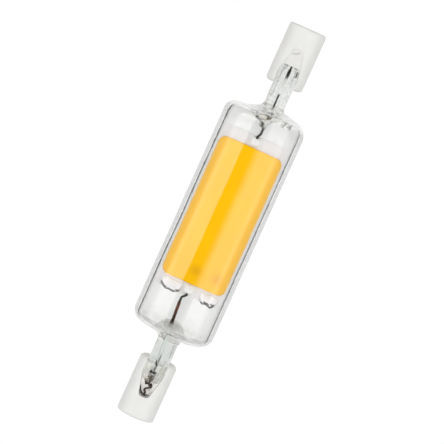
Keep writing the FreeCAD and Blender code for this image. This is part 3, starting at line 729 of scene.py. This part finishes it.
glassLook = {
    # light, dark, scale and specks of the mottle
    "wall": ((0.91, 0.915, 0.907), (0.882, 0.887, 0.879), 0.15, 0.1),
    "end": ((0.865, 0.867, 0.86), (0.78, 0.783, 0.77), 0.6, 0.2),
    "rightStem": ((0.83, 0.85, 0.83), (0.72, 0.735, 0.715), 0.8, 0.3),
    "leftStem": ((0.72, 0.745, 0.725), (0.62, 0.645, 0.62), 0.8, 0.3),
    # plain tints; the dark ones below are painted shade in the glass
    "root": (0.93, 0.935, 0.92),
    "lines": (0.34, 0.34, 0.32),
    "domeShade": (0.4, 0.4, 0.36),
    "marks": (0.05, 0.045, 0.04),
    "edge": (0.38, 0.38, 0.375),
    # where each part starts and is whole, from the middle of the tube
    "drawnFrom": (18.0, 21.8),
    "rootFrom": (21.3, 21.9),
    "pressedFrom": (22.6, 24.2),
    "markedFrom": (20.9, 21.2),
    # heights at which marks fade on the round wall and on the underside
    "wallFade": (4.2, 3.6),
    "undersideFade": (-3.2, -2.2),
    "edgeFade": (0.52, 0.78),   # of the painted edge shade, by how far the glass is turned from the eye
    "rootEdge": 0.6,            # share of the painted edge shade that the root does without
    "lineReach": (1.05, 1.65, 2.05),    # of the lines, from the middle of a stem
    # painted light: strength of the glow of glass deep in its own wall
    "paintedTrappedGlow": 0.85,
}
# black of the marks round the left lead, and of the painted shade in the slot
darkMarkAndShade = (0.02, 0.015, 0.012)


def addStemShadeLines(tree, place, x, y):
    # painted shade: broken dark lines along the ridges of the stems, stronger in the right one
    wobble = addMath(tree, "MULTIPLY_ADD", addNoise(tree, place, 0.5), 0.5, 0.15)
    fromStem = addMath(tree, "ABSOLUTE", addMath(tree, "SUBTRACT", y, glass["offset"]))
    across = addMath(tree, "ADD", fromStem, wobble)
    lines = 0.0
    for reach in glassLook["lineReach"]:
        away = addMath(tree, "ABSOLUTE", addMath(tree, "SUBTRACT", across, reach))
        lines = addMath(tree, "MAXIMUM", addAcross(tree, 0.11, 0.04, away), lines)
    stretched = addVectorMath(tree, "MULTIPLY", place, (2.2, 0.9, 0.3))
    broken = addAcross(tree, 0.42, 0.58, addNoise(tree, stretched, 1.0, 1.0))
    strength = addMath(tree, "MULTIPLY_ADD", addAcross(tree, -1.0, 1.0, x), 0.25, 0.15)
    return addMath(tree, "MULTIPLY", addMath(tree, "MULTIPLY", lines, broken), strength)


def addGlassColour(tree, place, along, pressed):
    def tint(part):
        light, dark, scale, specks = glassLook[part]
        return useGroup(tree, mottle, Light=light, Dark=dark, Scale=scale, Specks=specks)["Color"]

    x, y, z = addParts(tree, place)
    stem = addMix(tree, addAcross(tree, -1.0, 1.0, x), tint("leftStem"), tint("rightStem"))
    stem = addMix(tree, addStemShadeLines(tree, place, x, y), stem, glassLook["lines"])
    drawn = addAcross(tree, *glassLook["drawnFrom"], along)
    root = addAcross(tree, *glassLook["rootFrom"], along)
    colour = addMix(tree, drawn, tint("wall"), tint("end"))
    colour = addMix(tree, root, colour, glassLook["root"])
    colour = addMix(tree, pressed, colour, stem)
    wandering = addWander(tree, place, 1.6, 0.35)
    level = addAcross(tree, *glassLook["wallFade"], addMath(tree, "ABSOLUTE", z))
    # painted shade: a soft grey cloud over the left dome
    cloud = addMath(tree, "MULTIPLY", addMarks(tree, wandering, domeShade, 0.5), level)
    colour = addMix(tree, cloud, colour, glassLook["domeShade"])
    level = addMath(tree, "MAXIMUM", level, addAcross(tree, *glassLook["markedFrom"], along))
    level = addMath(tree, "MULTIPLY", level, addAcross(tree, *glassLook["undersideFade"], z))
    # painted shade: dark lines where the glass shows its ridges, folds and the cone
    marks = addMath(tree, "MULTIPLY", addMarks(tree, wandering, glassShadeMarks), level)
    colour = addMix(tree, marks, colour, glassLook["marks"])
    facing = addNode(tree, "LayerWeight").outputs["Facing"]     # painted shade: greyer where it is seen edge on
    paintedEdgeShade = addAcross(tree, *glassLook["edgeFade"], facing)
    offRoot = addMath(tree, "MULTIPLY_ADD", root, -glassLook["rootEdge"], 1.0)
    return addMix(tree, addMath(tree, "MULTIPLY", paintedEdgeShade, offRoot), colour, glassLook["edge"])


def makeClearGlass():
    # thin and clear round the board, thick, greenish and streaked where it is drawn out and pressed
    material, tree, shader = newMaterial("clearGlass")
    place = placeInMillimetres(tree)
    fromMiddle = addMath(tree, "SUBTRACT", addParts(tree, place)["X"], glass["middle"])
    along = addMath(tree, "ABSOLUTE", fromMiddle)
    pressed = addAcross(tree, *glassLook["pressedFrom"], along)
    colour = addGlassColour(tree, place, along, pressed)
    relief = useGroup(tree, grain, Scale=0.9, Fine=0.006, Slow=0.05)
    stretched = addVectorMath(tree, "MULTIPLY", place, (0.22, 2.4, 2.4))
    streaks = addMath(tree, "MULTIPLY", addNoise(tree, stretched, 1.0, 3.0, 0.6), pressed)
    bump = fill(tree, addNode(tree, "Bump"), Distance=0.22 * mm, Height=streaks, Normal=relief["Normal"])
    fill(tree, shader, Base_Color=colour, Normal=bump["Normal"], Transmission_Weight=1.0, IOR=1.5,
         Roughness=0.0)
    rays = addNode(tree, "LightPath").outputs
    # painted light: past two glossy bounces the glass glows pale, in place of light that runs on inside the
    # wall
    paintedGlow = fill(tree, addNode(tree, "Emission"), Color=colour, Strength=glassLook["paintedTrappedGlow"])
    trapped = addMath(tree, "GREATER_THAN", rays["Glossy Depth"], 2.5)
    surface = addShaderMix(tree, trapped, shader.outputs[0], paintedGlow[0])
    # lamps reach what is behind the glass
    clear = fill(tree, addNode(tree, "BsdfTransparent"), Color=(0.98, 0.985, 0.98))
    passing = addMath(tree, "MAXIMUM", rays["Is Shadow Ray"], rays["Is Diffuse Ray"])
    surface = addShaderMix(tree, passing, surface, clear[0])
    fill(tree, tree.nodes["Material Output"], Surface=surface)
    return material


def makePlain(*look):
    return startFinish(*look)[0]


def makeMetal(name, light, dark, roughness, scale=1.2, fine=0.004, metallic=1.0):
    return makePlain(name, light, dark, (scale, 0.3), (10.0, fine, fine * 3), roughness, metallic)


def makeSteatite(name, marks=()):
    material, tree, shader, colour = startFinish(
        name, (0.735, 0.733, 0.715), (0.685, 0.682, 0.66), (0.35, 0.25), (9.0, 0.012, 0.02), (0.42, 0.55))
    if marks:
        place = placeInMillimetres(tree)
        inSlot = addAcross(tree, 2.2, 1.5, addParts(tree, place)["Z"])      # the lower part of the walls, where the painted shade goes
        # painted shade at the deep end of the slot
        slotShade = addMarks(tree, addWander(tree, place, 2.0, 0.2), marks)
        shade = addMix(tree, addMath(tree, "MULTIPLY", slotShade, inSlot), colour, darkMarkAndShade)
        fill(tree, shader, Base_Color=shade)
    return material


def makeCement():
    material, tree, shader, colour = startFinish(
        "cementPaste", (0.73, 0.725, 0.7), (0.64, 0.63, 0.605), (0.9, 0.5), (6.0, 0.05, 0.12), (0.75, 0.95))
    # painted shadow: a thin grey line beside a small bump of the cement
    shadowLine = addMarks(tree, addWander(tree, placeInMillimetres(tree), 2.0, 0.4), cementShadowLine)
    fill(tree, shader, Base_Color=addMix(tree, shadowLine, colour, (0.1, 0.095, 0.09)))
    return material


def makeGlowingSlotCement():
    # pale as the ceramic at the walls of the slot, brown and black round the lead, and lit by a painted glow
    material, tree, shader, colour = startFinish(
        "glowingSlotCement", (0.86, 0.85, 0.83), (0.74, 0.71, 0.68), (1.1, 0.5), (6.0, 0.06, 0.14), (0.7, 0.95))
    place = addWander(tree, placeInMillimetres(tree), 2.0, 0.35)
    brown = useGroup(tree, mottle, Light=(0.5, 0.42, 0.35), Dark=(0.07, 0.05, 0.035), Scale=2.4, Specks=0.6)
    shade = addMix(tree, addMarks(tree, place, slotBrown, 0.3), colour, brown["Color"])
    shade = addMix(tree, addMarks(tree, place, slotMarksAndShade + slotEndShade), shade, darkMarkAndShade)
    # painted light: the glow makes up for the shade in the depth of the slot
    fill(tree, shader, Base_Color=shade, Emission_Color=shade, Emission_Strength=0.42)
    return material


phosphorLook = {
    "edgeShadeAndLeftTone": (0.8, 0.42, 0.0),       # painted shade towards the long edges, and darker towards the left end
    "edgeFrom": (4.0, 6.2),
    "leftFrom": (-3.0, -11.0),
    "leftShare": 0.3,
    "circuit": (0.5, 0.17, 0.02),   # the two circuits showing through
    "circuitShare": 0.32,
}


def makePhosphor():
    # silicone full of yellow phosphor, with a faint painted glow
    look = phosphorLook
    material, tree, shader, colour = startFinish(
        "yellowPhosphor", (1.0, 0.535, 0.0), (0.98, 0.49, 0.0), (0.28, 0.3),
        (8.0, 0.008, 0.03), (0.5, 0.62))
    place = placeInMillimetres(tree)
    x, y, _ = addParts(tree, place)
    # painted shade: deeper orange towards the long edges
    edge = addAcross(tree, *look["edgeFrom"], addMath(tree, "ABSOLUTE", y))
    # darker towards the left end
    left = addMath(tree, "MULTIPLY", addAcross(tree, *look["leftFrom"], x), look["leftShare"])
    shade = addMix(tree, addMath(tree, "MAXIMUM", edge, left), colour, look["edgeShadeAndLeftTone"])
    for node in ("rectifier_chip", "driver_chip"):
        low, high = (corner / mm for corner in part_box(node))
        away = addVectorMath(tree, "DISTANCE", place, (low + high) / 2)
        spot = addRamp(tree, addMath(tree, "MULTIPLY", away, 0.4), [(0.2, 1.0), (0.62, 0.0)])
        spot = addMath(tree, "MULTIPLY", spot, look["circuitShare"])
        shade = addMix(tree, spot, shade, look["circuit"])
    # painted light: a faint orange glow lifts the colour
    fill(tree, shader, Base_Color=shade, Specular_IOR_Level=0.04, Emission_Color=(1.0, 0.5, 0.0),
         Emission_Strength=0.12)
    return material


sealWire = {
    # stops as (x, share)
    "paintedShine": [(-21.7, 1.0), (-21.0, 0.0), (19.0, 0.0), (19.6, 1.0), (29.0, 1.0), (29.6, 0.0)],
    "seam": [(-28.5, 0.0), (-28.1, 0.7), (-27.0, 0.6), (-26.6, 0.0),
             (21.4, 0.0), (21.8, 1.0), (25.9, 1.0), (26.2, 0.0)],
    "black": [(-19.8, 0.9), (-18.0, 0.0), (17.0, 0.0), (18.0, 1.0)],
    "span": 80,                 # the stops are laid out on this length round the origin
    "seamY": -0.37,
    "seamFade": (0.22, 0.14),
}


def makeSealWire():
    # brown copper inside the tube; in the stems it is painted pale, a painted shine of the wire sealed in
    # the glass, with a dark seam along part of it, and it is black again at the welds
    material, tree, shader, colour = startFinish(
        "copperCladWire", (0.2, 0.075, 0.045), (0.06, 0.03, 0.022), (1.4, 0.4),
        (8.0, 0.01, 0.02), (0.35, 0.6))
    place = placeInMillimetres(tree)
    x, y, _ = addParts(tree, place)
    span = sealWire["span"]
    share = addMath(tree, "MULTIPLY_ADD", x, 1 / span, 0.5)
    paintedShine, seam, black = (addRamp(tree, share, [(at / span + 0.5, value) for at, value in sealWire[part]])
                           for part in ("paintedShine", "seam", "black"))
    fromSeam = addMath(tree, "ABSOLUTE", addMath(tree, "SUBTRACT", y, sealWire["seamY"]))
    seam = addMath(tree, "MULTIPLY", addAcross(tree, *sealWire["seamFade"], fromSeam), seam)
    marks = addMarks(tree, addWander(tree, place, 2.0, 0.35), slotMarksAndShade)
    clean = addMath(tree, "SUBTRACT", 1.0, addMath(tree, "MAXIMUM", seam, marks))
    paintedShine = addMath(tree, "MULTIPLY", paintedShine, clean)
    dark = addMix(tree, black, colour, (0.02, 0.017, 0.015))
    toRight = addAcross(tree, -1.0, 1.0, x)
    # painted shine: pale grey where the wire is sealed, paler in the right stem
    shade = addMix(tree, paintedShine, dark, addMix(tree, toRight, (0.7, 0.73, 0.71), (0.86, 0.86, 0.84)))
    metallic = addMath(tree, "MULTIPLY_ADD", paintedShine, -0.5, 0.6)
    fill(tree, shader, Base_Color=shade, Metallic=metallic)
    return material


def makeClipTin():
    # nearly white tin, with a painted dark reflection along the fold where it turns down
    material, tree, shader, colour = startFinish(
        "tinnedClip", (0.93, 0.9, 0.91), (0.78, 0.75, 0.76), (0.8, 0.3),
        (10.0, 0.006, 0.05), (0.3, 0.45), 0.3)
    # painted reflection: dark where the fold faces -X and upward, with a ragged edge
    x, _, z = addParts(tree, addNode(tree, "NewGeometry").outputs["Normal"])
    ragged = addMath(tree, "MULTIPLY_ADD", addNoise(tree, placeInMillimetres(tree), 1.6), 2.6, -1.3)
    fold = addAcross(tree, -0.25, -0.45, addMath(tree, "ADD", x, ragged))
    fold = addMath(tree, "MULTIPLY", fold, addAcross(tree, -0.05, 0.15, z))
    fill(tree, shader, Base_Color=addMix(tree, fold, colour, (0.035, 0.03, 0.026)))
    return material


finishes = {
    "glass": makeClearGlass(),
    "cap_ceramic": makeSteatite("whiteSteatite"),
    "contact_metal": makeMetal("nickelContact", (0.62, 0.6, 0.56), (0.45, 0.43, 0.4), (0.22, 0.4)),
    "cement": makeCement(),
    "nickel_wire": makeMetal("nickelWire", (0.1, 0.095, 0.09), (0.04, 0.037, 0.035), (0.3, 0.5)),
    "seal_wire": makeSealWire(),
    "solder": makeMetal("solderTin", (0.96, 0.94, 0.94), (0.84, 0.82, 0.82), (0.25, 0.45), 1.6, 0.02, 0.15),
    "silver_print": makeMetal("silverPrint", (0.86, 0.85, 0.83), (0.74, 0.73, 0.7), (0.45, 0.65), 3.0, 0.01,
                              0.3),
    "tinned_clip": makeClipTin(),
    "board_ceramic": makePlain("boardCeramic", (0.78, 0.745, 0.75), (0.72, 0.69, 0.695), (0.4, 0.2),
                               (10.0, 0.006, 0.01), (0.35, 0.5)),
    "phosphor": makePhosphor(),
    "led_chip": makePlain("blueChip", (0.6, 0.72, 0.82), (0.4, 0.52, 0.66), (3.0, 0.3),
                          (14.0, 0.004, 0.004), (0.12, 0.25)),
    "circuit_black": makePlain("blackMoulding", (0.03, 0.03, 0.03), (0.018, 0.018, 0.018), (2.0, 0.4),
                               (14.0, 0.01, 0.01), (0.5, 0.65)),
}
ownFinishes = {
    "left_cement": makeGlowingSlotCement(),
    "left_end_cap": makeSteatite("shadedSlotSteatite", slotEndShade),
    "left_outer_lead": makeMetal("sootyLead", (0.26, 0.2, 0.16), (0.02, 0.016, 0.013), (0.5, 0.7), 1.6, 0.02,
                                 0.1),
}


def dress(piece, material):
    piece.data.materials.clear()
    piece.data.materials.append(material)
    for polygon in piece.data.polygons:
        polygon.material_index = 0


slots = {item["node"]: item["material_slot"] for item in frame["record"]["subparts"]}
for name, node in nodes.items():
    if not node.hide_render:
        dress(node, ownFinishes.get(name) or finishes[slots[name]])
for piece in (blownGlass, frontStrip, backStrip, nearClip, farClip):
    dress(piece, finishes[piece["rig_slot"]])
print("finishes applied")


# Studio: a white floor well below the lamp, a long soft box on each side of the camera, and
# low dark cards beside the lamp that draw its glass edges

studio = {
    "floorHalf": 3000.0,
    "floorDrop": 120.0,
    "floorShade": 0.5,
    "floorGlow": 0.2,
    "seenGlow": 0.32,           # camera, mirror and glass rays see the floor this much brighter
    "leftCard": (43.0, 52.0, 0.02),     # from straight down towards +Y, and its grey
    "rightCard": (43.0, 52.0, 0.12),
    "endCard": (52.0, 58.0, 0.5),       # beyond each end of the lamp
    "endCardGap": 20.0,         # and this much further out
    "cardLength": 140.0,
    "boxDistance": 420.0,
    "boxLength": 900.0,
    "leftGloss": 1.75,          # how bright the polished surfaces see each box
    "rightGloss": 1.6,
    "sideLight": 1.5,           # and how bright the dull surfaces do
    "topLight": 1.0,
    "leftBox": (26.0, 78.0),    # from straight up towards +Y
    "rightBox": (24.0, 78.0),   # towards -Y
    "rightEdge": [(4.0, 11.0, 0.12), (11.0, 17.5, 0.45), (17.5, 24.0, 0.75)],   # its fading side
    "topBox": (-26.0, 26.0),
}


def seenRays(tree):
    # 1 for what the camera sees, straight, in a mirror or through glass
    rays = addNode(tree, "LightPath").outputs
    mirror = addMath(tree, "MAXIMUM", rays["Is Glossy Ray"], rays["Is Transmission Ray"])
    return addMath(tree, "MAXIMUM", rays["Is Camera Ray"], mirror)


def addSheet(name, startX, endX, startY, endY, z):
    corners = [(startX, startY, z), (endX, startY, z), (endX, endY, z), (startX, endY, z)]
    return addMesh(name, corners, [(0, 1, 2, 3)])


def makePaper(name, light, dark, roughness):
    material, tree, shader = newMaterial(name)
    colour = useGroup(tree, mottle, Light=(light,) * 3, Dark=(dark,) * 3, Scale=0.01, Specks=0.1)
    fill(tree, shader, Base_Color=colour["Color"], Roughness=roughness, Specular_IOR_Level=0.0)
    return material, tree, shader


def makeFloor():
    half, shade = studio["floorHalf"], studio["floorShade"]
    floor = addSheet("floor", -half, half, -half, half, -studio["floorDrop"])
    material, tree, shader = makePaper("paleFloor", shade, shade - 0.01, 0.9)
    glow = addMath(tree, "MULTIPLY_ADD", seenRays(tree), studio["seenGlow"], studio["floorGlow"])
    fill(tree, shader, Emission_Color=(1, 1, 1), Emission_Strength=glow)
    floor.data.materials.append(material)


def makeCard(name, card, aside, along=0):
    # a card just over the floor, seen only by light that bounced in the glass or off the metal
    near, far, grey = card
    drop, half = studio["floorDrop"], studio["cardLength"] / 2
    start, end = (drop * math.tan(math.radians(angle)) for angle in (near, far))
    if aside:
        piece = addSheet(name, -half, half, aside * start, aside * end, 1.0 - drop)
    else:
        start, end = start + studio["endCardGap"], end + studio["endCardGap"]
        piece = addSheet(name, along * start, along * end, -half, half, 1.0 - drop)
    material, tree, shader = makePaper(name + "Paper", grey, grey * 0.9, 1.0)
    bounced = addMath(tree, "GREATER_THAN", addNode(tree, "LightPath").outputs["Glossy Depth"], 0.5)
    unseen = addNode(tree, "BsdfTransparent").outputs[0]
    surface = addShaderMix(tree, bounced, unseen, shader.outputs[0])
    fill(tree, tree.nodes["Material Output"], Surface=surface)
    piece.data.materials.append(material)
    piece.visible_camera = False
    piece.visible_diffuse = False
    piece.visible_shadow = False


def makeSoftBox(name, near, far, towards, level, isGloss):
    middle, half = math.radians((near + far) / 2), math.radians((far - near) / 2)
    distance = studio["boxDistance"] * (0.98 if isGloss else 1.0) * mm
    data = bpy.data.lights.new(name, "AREA")
    data.shape = "RECTANGLE"
    data.size = studio["boxLength"] * mm
    data.size_y = 2 * distance * math.tan(half)
    data.energy = level * math.pi * data.size * data.size_y
    lamp = bpy.data.objects.new(name, data)
    scene.collection.objects.link(lamp)
    lamp.location = (0, towards * distance * math.sin(middle), distance * math.cos(middle))
    lamp.rotation_euler = (-towards * middle, 0, 0)
    lamp.visible_camera = False
    lamp.visible_diffuse = not isGloss
    lamp.visible_glossy = isGloss
    lamp.visible_transmission = isGloss


def makeLights():
    s = studio
    makeSoftBox("leftBox", *s["leftBox"], 1, s["sideLight"], False)
    makeSoftBox("rightBox", *s["rightBox"], -1, s["sideLight"], False)
    makeSoftBox("topBox", *s["topBox"], 1, s["topLight"], False)
    makeSoftBox("leftGloss", *s["leftBox"], 1, s["leftGloss"], True)
    makeSoftBox("rightGloss", *s["rightBox"], -1, s["rightGloss"], True)
    for index, (near, far, share) in enumerate(s["rightEdge"]):
        makeSoftBox("rightEdge%d" % index, near, far, -1, s["rightGloss"] * share, True)


def makeWorld():
    world = bpy.data.worlds.new("studioAir")
    world.use_nodes = True
    scene.world = world
    tree = world.node_tree
    x, _, z = addParts(tree, addNode(tree, "TexCoord").outputs["Generated"])
    seen = addRamp(tree, z, [(0.12, 1.0), (0.45, 0.03)])
    felt = addRamp(tree, z, [(0.0, 0.35), (0.6, 0.08)])
    endwise = addAcross(tree, 0.35, 0.7, addMath(tree, "ABSOLUTE", x))
    seen = addMix(tree, endwise, seen, (0.9, 0.9, 0.9))         # the glass ends shine against bright air
    fill(tree, tree.nodes["Background"], Color=addMix(tree, seenRays(tree), felt, seen))


makeFloor()
makeCard("leftCard", studio["leftCard"], 1)
makeCard("rightCard", studio["rightCard"], -1)
makeCard("topCard", studio["endCard"], 0, 1)
makeCard("bottomCard", studio["endCard"], 0, -1)
makeLights()
makeWorld()
scene.view_settings.view_transform = "Standard"


# Camera: above the lamp, a little towards its right end, and turned so that the lamp leans

view = {
    "distance": 450.0,
    "tilt": 4.5,                # degrees from straight above, towards +X
    "lean": 24.27,              # degrees of the lamp's axis from upright in the picture
    "frame": 81.84,             # width of the picture at the lamp, in millimetres
    "sensor": 36.0,
    "aim": (0.28, -0.45, 0.0),
}


def makeCamera():
    data = bpy.data.cameras.new("camera")
    data.sensor_width = view["sensor"]
    data.lens = view["sensor"] * view["distance"] / view["frame"]
    data.clip_start = 0.01
    camera = bpy.data.objects.new("camera", data)
    scene.collection.objects.link(camera)
    tilt, lean = math.radians(view["tilt"]), math.radians(view["lean"])
    back = Vector((math.sin(tilt), 0, math.cos(tilt)))
    along = Vector((math.cos(tilt), 0, -math.sin(tilt)))        # the lamp's axis as the picture shows it
    up = along * math.cos(lean) + back.cross(along) * math.sin(lean)
    matrix = Matrix((up.cross(back), up, back)).transposed().to_4x4()
    matrix.translation = Vector(view["aim"]) * mm + back * view["distance"] * mm
    camera.matrix_world = matrix
    scene.camera = camera


makeCamera()
print("studio ready")
